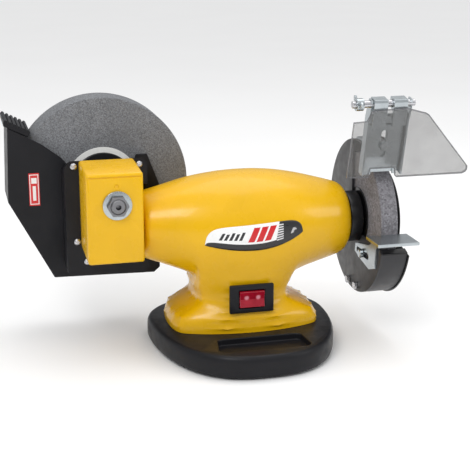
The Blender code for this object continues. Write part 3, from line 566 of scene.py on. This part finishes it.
def housing_cage():
    """Rings extruded along the shaft; the belly is then drawn down into the neck and the foot"""
    bm = bmesh.new()
    bmesh.ops.create_circle(bm, cap_ends=False, segments=AROUND, radius=1.0)
    edges = bm.edges[:]
    bmesh.ops.transform(bm, matrix=Matrix.Rotation(math.pi / 2, 3, "Y"), verts=bm.verts[:])
    unit = {v: (v.co.y, v.co.z) for v in bm.verts}
    stations = []
    for x, radius in BARREL:
        if stations:
            made = bmesh.ops.extrude_edge_only(bm, edges=edges)["geom"]
            edges = [g for g in made if isinstance(g, bmesh.types.BMEdge) and
                     all(v not in stations[-1] for v in g.verts)]
            fresh = {v for e in edges for v in e.verts}
            last = stations[-1]
            unit = {v: unit[min(last, key=lambda old: (old.co - v.co).length)] for v in fresh}
        for v, (a, b) in unit.items():
            v.co = mm(x, radius * a, barrel_z(x) + radius * b)
        stations.append(set(unit))

    def below(face):
        centre = face.calc_center_median() * 1000
        turn = math.degrees(math.atan2(centre.z - SHAFT_Z, centre.y))
        return abs(centre.x) < BELLY_HALF and abs(turn + 90) < BELLY_SPREAD

    belly = [face for face in bm.faces if below(face)]
    corners = {v for f in belly for v in f.verts}
    reach_x, reach_y = (max(abs(v.co[i]) for v in corners) for i in (0, 1))
    share = {v: (v.co.x / reach_x, v.co.y / reach_y) for v in corners}
    faces = belly
    for height, low_x, high_x, half_y in NECK:
        middle_x, half_x = (low_x + high_x) / 2, (high_x - low_x) / 2
        made = bmesh.ops.extrude_face_region(bm, geom=faces)["geom"]
        bmesh.ops.delete(bm, geom=faces, context="FACES_ONLY")
        faces = [g for g in made if isinstance(g, bmesh.types.BMFace)]
        fresh = {v for f in faces for v in f.verts}
        share = {v: share[min(share, key=lambda old: (old.co - v.co).length)] for v in fresh}
        for v, (a, b) in share.items():
            pull = 1 - 0.2 * abs(a * b) ** 3
            v.co = mm(middle_x + a * half_x * pull, b * half_y * pull, height)
    bmesh.ops.delete(bm, geom=faces, context="FACES")
    bmesh.ops.recalc_face_normals(bm, faces=bm.faces[:])
    if sum(f.normal.dot(f.calc_center_median() - mm(0, 0, SHAFT_Z)) for f in bm.faces) < 0:
        bmesh.ops.reverse_faces(bm, faces=bm.faces[:])
    return bm


class GRINDER_OT_housing(bpy.types.Operator):
    """Moulded motor housing: barrel, neck and foot in one shell"""
    bl_idname = "grinder.housing"
    bl_label = "Motor Housing"

    def execute(self, context):
        housing = publish("housing_shell", housing_cage(), "yellow_paint", "machine", ("motor_housing",), 60)
        smoother = housing.modifiers.new("rounding", "SUBSURF")
        smoother.levels = smoother.render_levels = context.scene.grinder_sizes.housing_smoothing
        wall = housing.modifiers.new("wall", "SOLIDIFY")
        wall.thickness, wall.offset = WALL * 0.001, -1
        settle(housing, 60)
        cut(housing, block(-22.5, 19.5, -75, -40, 55.5, 81.5))
        return {"FINISHED"}


# ---- switch ------------------------------------------------------------------------------------------
class GRINDER_OT_switch(bpy.types.Operator):
    """Rocker switch, its frame and the cable gland at the back"""
    bl_idname = "grinder.switch"
    bl_label = "Switch"

    def execute(self, context):
        width = context.scene.grinder_sizes.sheet_edge
        edged_copy("switch_frame", width * 2)
        edged_copy("switch_rocker", width * 1.5)
        edged_copy("cable_gland", width)
        return {"FINISHED"}


# ---- wet side ------------------------------------------------------------------------------------------
class GRINDER_OT_gearbox(bpy.types.Operator):
    """Yellow gearbox cover and the black case behind it"""
    bl_idname = "grinder.gearbox"
    bl_label = "Gearbox"

    def execute(self, context):
        sizes = context.scene.grinder_sizes
        edged_copy("gearbox_cover", sizes.sheet_edge * 1.5)
        edged_copy("gearbox_case", sizes.moulding_edge)
        edged_copy("gearbox_spigot", sizes.sheet_edge)
        for number in range(1, 5):
            edged_copy(f"case_screw_{number}", sizes.sheet_edge * 0.4, segments=2)
        return {"FINISHED"}


class GRINDER_OT_tank(bpy.types.Operator):
    """Water tank, its ribbed ledge and the sticker"""
    bl_idname = "grinder.tank"
    bl_label = "Water Tank"

    def execute(self, context):
        sizes = context.scene.grinder_sizes
        edged_copy("water_tank", sizes.moulding_edge * 0.8)
        edged_copy("drip_ledge", sizes.sheet_edge)
        edged_copy("tank_label", 0.0001, segments=1)
        return {"FINISHED"}


class GRINDER_OT_stone(bpy.types.Operator):
    """Wet stone between its blotter and flanges, on the slow axle"""
    bl_idname = "grinder.stone"
    bl_label = "Wet Stone"

    def execute(self, context):
        axis = (STONE_X, 0, STONE_Z)
        publish("wet_stone_body", ring("Y", axis, 62, 102, 100, BORE, 1.4, 160), "wet_grit", "stone",
                ("wet_stone",))
        publish("blotter_ring", ring("Y", axis, 60.9, 61.7, 42.5, BORE, 0.2), "blotter_paper", "stone",
                ("stone_blotter",))
        publish("front_flange", ring("Y", axis, 57.4, 60.6, 36.5, BORE, 1.2), "black_paint", "stone",
                ("stone_flange_front",))
        publish("rear_flange", ring("Y", axis, 102.3, 105.2, 36.5, BORE, 1.2), "black_paint", "stone",
                ("stone_flange_rear",))
        publish("big_washer", ring("Y", axis, -52.6, -50.8, 16, BORE, 0.5), "zinc", "stone", ("axle_washer",))
        axle = [(-54, 0), (-54, 2.6), (-60, 3), (-60, 6.8), (-58.8, 8), (111, 8), (112, 7), (112, 0)]
        publish("axle_bar", turned(axle, "Y", axis), "dark_steel", "stone", ("wet_axle",))
        edged_copy("axle_nut", context.scene.grinder_sizes.sheet_edge * 1.5, "dark_steel")
        edged_copy("stone_nut", context.scene.grinder_sizes.sheet_edge * 1.5)
        return {"FINISHED"}


# ---- dry side ------------------------------------------------------------------------------------------
OUTER = 172.5                  # outer rim of the guard's band
LIP = -165.0                   # the band's lower end, as an angle round the shaft


def around_shaft(radius, start, end, steps):
    return arc(0, SHAFT_Z, radius, start, end, steps)


class GRINDER_OT_wheel(bpy.types.Operator):
    """Dry wheel, its flanges and nut on the motor shaft"""
    bl_idname = "grinder.wheel"
    bl_label = "Dry Wheel"

    def execute(self, context):
        hub = (0, 0, SHAFT_Z)
        publish("dry_wheel_body", ring("X", hub, 145, 165, 75, BORE, 0.9, 128), "dry_grit", "rotor",
                ("dry_wheel",))
        inner = [(142.1, BORE), (142.1, 15), (143.6, 15), (143.6, 33.6), (144, 34), (144.7, 34),
                 (144.7, BORE)]
        publish("inner_flange", turned(inner, "X", hub), "black_paint", "rotor", ("wheel_flange_inner",))
        publish("outer_flange", ring("X", hub, 165.3, 168.3, 26, BORE, 1.2), "black_paint", "rotor",
                ("wheel_flange_outer",))
        edged_copy("wheel_nut", context.scene.grinder_sizes.sheet_edge * 1.5)
        return {"FINISHED"}


class GRINDER_OT_guard(bpy.types.Operator):
    """Wheel guard: inner plate, band with folded lip, and the outer cover with its dome"""
    bl_idname = "grinder.guard"
    bl_label = "Wheel Guard"

    def execute(self, context):
        plate = (around_shaft(91, LIP, 81, 110) + [(14, SHAFT_Z + 11)] + around_shaft(18, 38, -90, 24)
                 + [(-80, SHAFT_Z - 19)])
        publish("guard_plate", prism(plate, "X", 141, 143.3, 0.5), "guard_paint", "machine",
                ("wheel_guard",), 30)
        band = around_shaft(91, LIP, 114, 120) + around_shaft(88.7, 114, LIP, 120)
        publish("guard_band", prism(band, "X", 141.8, OUTER, 0.5), "guard_paint", "machine", smooth_angle=30)
        lip = [(-88.3, 117.6), (-87.3, 115.4), (-79.4, 118.4), (-79.6, 120.8)]
        publish("guard_lip", prism(lip, "X", 142.4, OUTER, 0.4), "black_paint", "machine")
        hub = (0, 0, SHAFT_Z)
        publish("guard_boss", ring("X", hub, 126.3, 141.4, 30, 9.5, 1.5), "black_paint", "machine")
        cover = around_shaft(92.5, LIP + 2, 96, 110) + around_shaft(58, 105, 200, 40)
        publish("cover_plate", prism(cover, "X", OUTER + 0.3, OUTER + 2.3, 0.6), "black_paint", "machine",
                ("guard_cover",), 30)
        dome = [(OUTER + along, radius)
                for along, radius in ((1, 20), (1, 33), (3, 33.2), (5.5, 32), (8, 29), (10, 24), (11.2, 17),
                                      (11.5, 0), (9.3, 0), (8.5, 18))]
        publish("cover_dome", turned(dome, "X", hub), "black_paint", "machine")
        head = [(OUTER + along, radius)
                for along, radius in ((2.5, 0), (2.5, 4.2), (3.6, 4.0), (4.8, 3.0), (5.3, 1.6), (5.3, 0))]
        for number, angle in enumerate((-62, 8, 72), 1):
            y, z = around_shaft(80, angle, angle + 1, 1)[0]
            screw = publish(f"cover_screw_{number}", turned(head, "X", (0, y, z), 32), "steel",
                            "machine")
            for turn in (0, 1):
                wide, tall = (2.6, 0.5) if turn else (0.5, 2.6)
                cut(screw, block(OUTER + 4.1, OUTER + 7, y - wide, y + wide, z - tall, z + tall))
        for number in (1, 2):
            edged_copy(f"guard_bolt_{number}", context.scene.grinder_sizes.sheet_edge)
        return {"FINISHED"}


class GRINDER_OT_rest(bpy.types.Operator):
    """Tool rest on its slotted arm, with the clamping screw"""
    bl_idname = "grinder.rest"
    bl_label = "Tool Rest"

    def execute(self, context):
        edged_copy("tool_rest", context.scene.grinder_sizes.sheet_edge)
        edged_copy("rest_screw", context.scene.grinder_sizes.sheet_edge)
        return {"FINISHED"}


class GRINDER_OT_shield(bpy.types.Operator):
    """Eye shield with its clamps, hinge rod, wing nut, bracket and spark deflector"""
    bl_idname = "grinder.shield"
    bl_label = "Eye Shield"

    def execute(self, context):
        edge = context.scene.grinder_sizes.sheet_edge
        for node in ("shield_bracket", "spark_deflector", "deflector_screw", "hinge_rod", "shield_clamp_left",
                     "shield_clamp_right", "wing_nut"):
            edged_copy(node, edge)
        outline = [(-45, -1.8), (-20.5, -2.8), (-19.5, -1.8), (-18, 8), (10, 8), (12, -2), (14, -3.8),
                   (94, -3.8), (98, -1.8), (99.6, 1), (99.4, 5.6), (43, 71), (39.5, 73), (16, 79.8),
                   (-23.7, 77.8), (-28.7, 65.8), (-44, 64.8)]
        sheet = prism(outline, "Y", -18.4, -16.1)
        broad = [f for f in sheet.faces if len(f.verts) > 4]
        bmesh.ops.inset_individual(sheet, faces=broad, thickness=0.0012)
        rim = [f for f in sheet.faces if f not in broad]
        for face in rim:
            face.material_index = 1
        bmesh.ops.triangulate(sheet, faces=broad)
        shield = publish("shield_sheet", leaned(sheet), "clear_shield", "shield", ("eye_shield",), 30)
        shield.data.materials.append(FINISH["shield_edge"])
        return {"FINISHED"}


# ---- printed plate on the barrel -------------------------------------------------------------------------
class GRINDER_OT_plate(bpy.types.Operator):
    """Oval rating plate that follows the barrel, printed with plain bars"""
    bl_idname = "grinder.plate"
    bl_label = "Rating Plate"

    def execute(self, context):
        housing = bpy.data.objects["housing_shell"]
        skin = BVHTree.FromObject(housing, context.evaluated_depsgraph_get())
        bm = bmesh.new()
        columns, rows = 72, 14
        bmesh.ops.create_grid(bm, x_segments=columns, y_segments=rows, size=1.0)
        chart = bm.loops.layers.uv.new("print")
        for face in bm.faces:
            for loop in face.loops:
                loop[chart].uv = (loop.vert.co.x / 2 + 0.5, loop.vert.co.y / 2 + 0.5)
        for v in bm.verts:
            u, share = v.co.x, v.co.y / 2 + 0.5
            tip = 133 if u < 0 else 142.5
            top = tip + 1 + (151 + 2.8 * (1 + u) - tip) * max(0.0, 1 - abs(u) ** 8) ** 0.5
            bottom = 125 + 8 * u * u if u < 0 else 142.5 - 17.5 * max(0.0, 1 - u * u) ** 0.9
            hit = skin.ray_cast(spot(2 + 56 * u, -200, bottom + (top - bottom) * share), Vector((0, 1, 0)))[0]
            if hit is None:
                raise RuntimeError("the rating plate misses the barrel")
            v.co = hit - mm(SHIFT_X, SHIFT_Y + 0.25, 0)
        bmesh.ops.recalc_face_normals(bm, faces=bm.faces[:])
        if sum(f.normal.y for f in bm.faces) > 0:
            bmesh.ops.reverse_faces(bm, faces=bm.faces[:])
        plate = publish("rating_plate", bm, "rating_label", "machine", ("motor_label",), 60)
        thick = plate.modifiers.new("thickness", "SOLIDIFY")
        thick.thickness, thick.offset = 0.0003, 1
        return {"FINISHED"}


class GRINDER_OT_inner(bpy.types.Operator):
    """Finishes for the working parts inside and below"""
    bl_idname = "grinder.inner"
    bl_label = "Working Parts"

    def execute(self, context):
        for name, node in frame["nodes"].items():
            for slot in node.material_slots:
                slot.material = FINISH[SLOT_OF[name]]
        return {"FINISHED"}


# ---- stage -------------------------------------------------------------------------------------------------
def aim(thing, target):
    thing.rotation_euler = (Vector(target) - thing.location).to_track_quat("-Z", "Y").to_euler()


def soft_lamp(name, place, target, power, size):
    data = bpy.data.lights.new(name, "AREA")
    data.energy, data.size = power, size
    lamp = bpy.data.objects.new(name, data)
    bpy.context.scene.collection.objects.link(lamp)
    lamp.location = place
    aim(lamp, target)


class GRINDER_OT_stage(bpy.types.Operator):
    """Pale floor, soft studio lamps and the camera"""
    bl_idname = "grinder.stage"
    bl_label = "Stage"

    def execute(self, context):
        bm = bmesh.new()
        bmesh.ops.create_grid(bm, x_segments=4, y_segments=4, size=6.0)
        mesh = bpy.data.meshes.new("floor")
        bm.to_mesh(mesh)
        bm.free()
        floor = bpy.data.objects.new("floor", mesh)
        context.scene.collection.objects.link(floor)
        surface = Finish("floor_paper", roughness=0.9)
        grain = surface.noise(3, 2)
        surface.feed(base_color=surface.mix(grain, (0.93, 0.93, 0.93), (0.96, 0.96, 0.96)))
        mesh.materials.append(surface.material)

        world = bpy.data.worlds.new("studio")
        world.use_nodes = True
        tree = world.node_tree
        heading = tree.nodes.new("ShaderNodeTexCoord")
        parts = tree.nodes.new("ShaderNodeSeparateXYZ")
        sky = tree.nodes.new("ShaderNodeValToRGB")
        tree.links.new(heading.outputs["Generated"], parts.inputs[0])
        tree.links.new(parts.outputs["Z"], sky.inputs["Fac"])
        tree.links.new(sky.outputs["Color"], tree.nodes["Background"].inputs["Color"])
        low, high = sky.color_ramp.elements
        low.position, low.color = 0.08, (0.30, 0.31, 0.33, 1)
        high.position, high.color = 0.75, (1.25, 1.25, 1.25, 1)
        tree.nodes["Background"].inputs["Strength"].default_value = 0.8
        context.scene.world = world
        context.scene.view_settings.view_transform = "Standard"
        middle = (0, 0, 0.15)
        soft_lamp("key_lamp", (-0.9, -1.3, 1.5), middle, 13, 0.7)
        soft_lamp("top_lamp", (0.3, 0.3, 1.8), middle, 8, 1.2)
        soft_lamp("fill_lamp", (1.5, -1.0, 0.8), middle, 5, 0.6)

        data = bpy.data.cameras.new("camera")
        data.sensor_width, data.lens = 36.0, 88.85
        camera = bpy.data.objects.new("camera", data)
        context.scene.collection.objects.link(camera)
        camera.location = spot(-323.3, -1254.8, 485.8)
        turn, drop = math.radians(14.2), math.radians(15.5)
        ahead = Vector((math.sin(turn) * math.cos(drop), math.cos(turn) * math.cos(drop), -math.sin(drop)))
        camera.rotation_euler = ahead.to_track_quat("-Z", "Y").to_euler()
        context.scene.camera = camera
        return {"FINISHED"}


STEPS = (GRINDER_OT_inner, GRINDER_OT_base, GRINDER_OT_housing, GRINDER_OT_switch, GRINDER_OT_gearbox,
         GRINDER_OT_tank, GRINDER_OT_stone, GRINDER_OT_wheel, GRINDER_OT_guard, GRINDER_OT_rest,
         GRINDER_OT_shield, GRINDER_OT_plate, GRINDER_OT_stage)


class GRINDER_PT_panel(bpy.types.Panel):
    """Sizes, colours and building steps of the grinder"""
    bl_idname = "GRINDER_PT_panel"
    bl_label = "Bench Grinder"
    bl_space_type = "VIEW_3D"
    bl_region_type = "UI"
    bl_category = "Grinder"

    def draw(self, context):
        for settings in (context.scene.grinder_sizes, context.scene.grinder_colours):
            for key in settings.__annotations__:
                self.layout.prop(settings, key)
        for step in STEPS:
            self.layout.operator(step.bl_idname)


CLASSES = (GrinderSizes, GrinderColours, *STEPS, GRINDER_PT_panel)


def register():
    for each in CLASSES:
        bpy.utils.register_class(each)
    bpy.types.Scene.grinder_sizes = bpy.props.PointerProperty(type=GrinderSizes)
    bpy.types.Scene.grinder_colours = bpy.props.PointerProperty(type=GrinderColours)


def unregister():
    del bpy.types.Scene.grinder_sizes
    del bpy.types.Scene.grinder_colours
    for each in reversed(CLASSES):
        bpy.utils.unregister_class(each)


def main():
    register()
    FINISH.update(all_finishes())
    for step in STEPS:
        group, name = step.bl_idname.split(".")
        getattr(getattr(bpy.ops, group), name)()


if __name__ == "__main__":
    main()
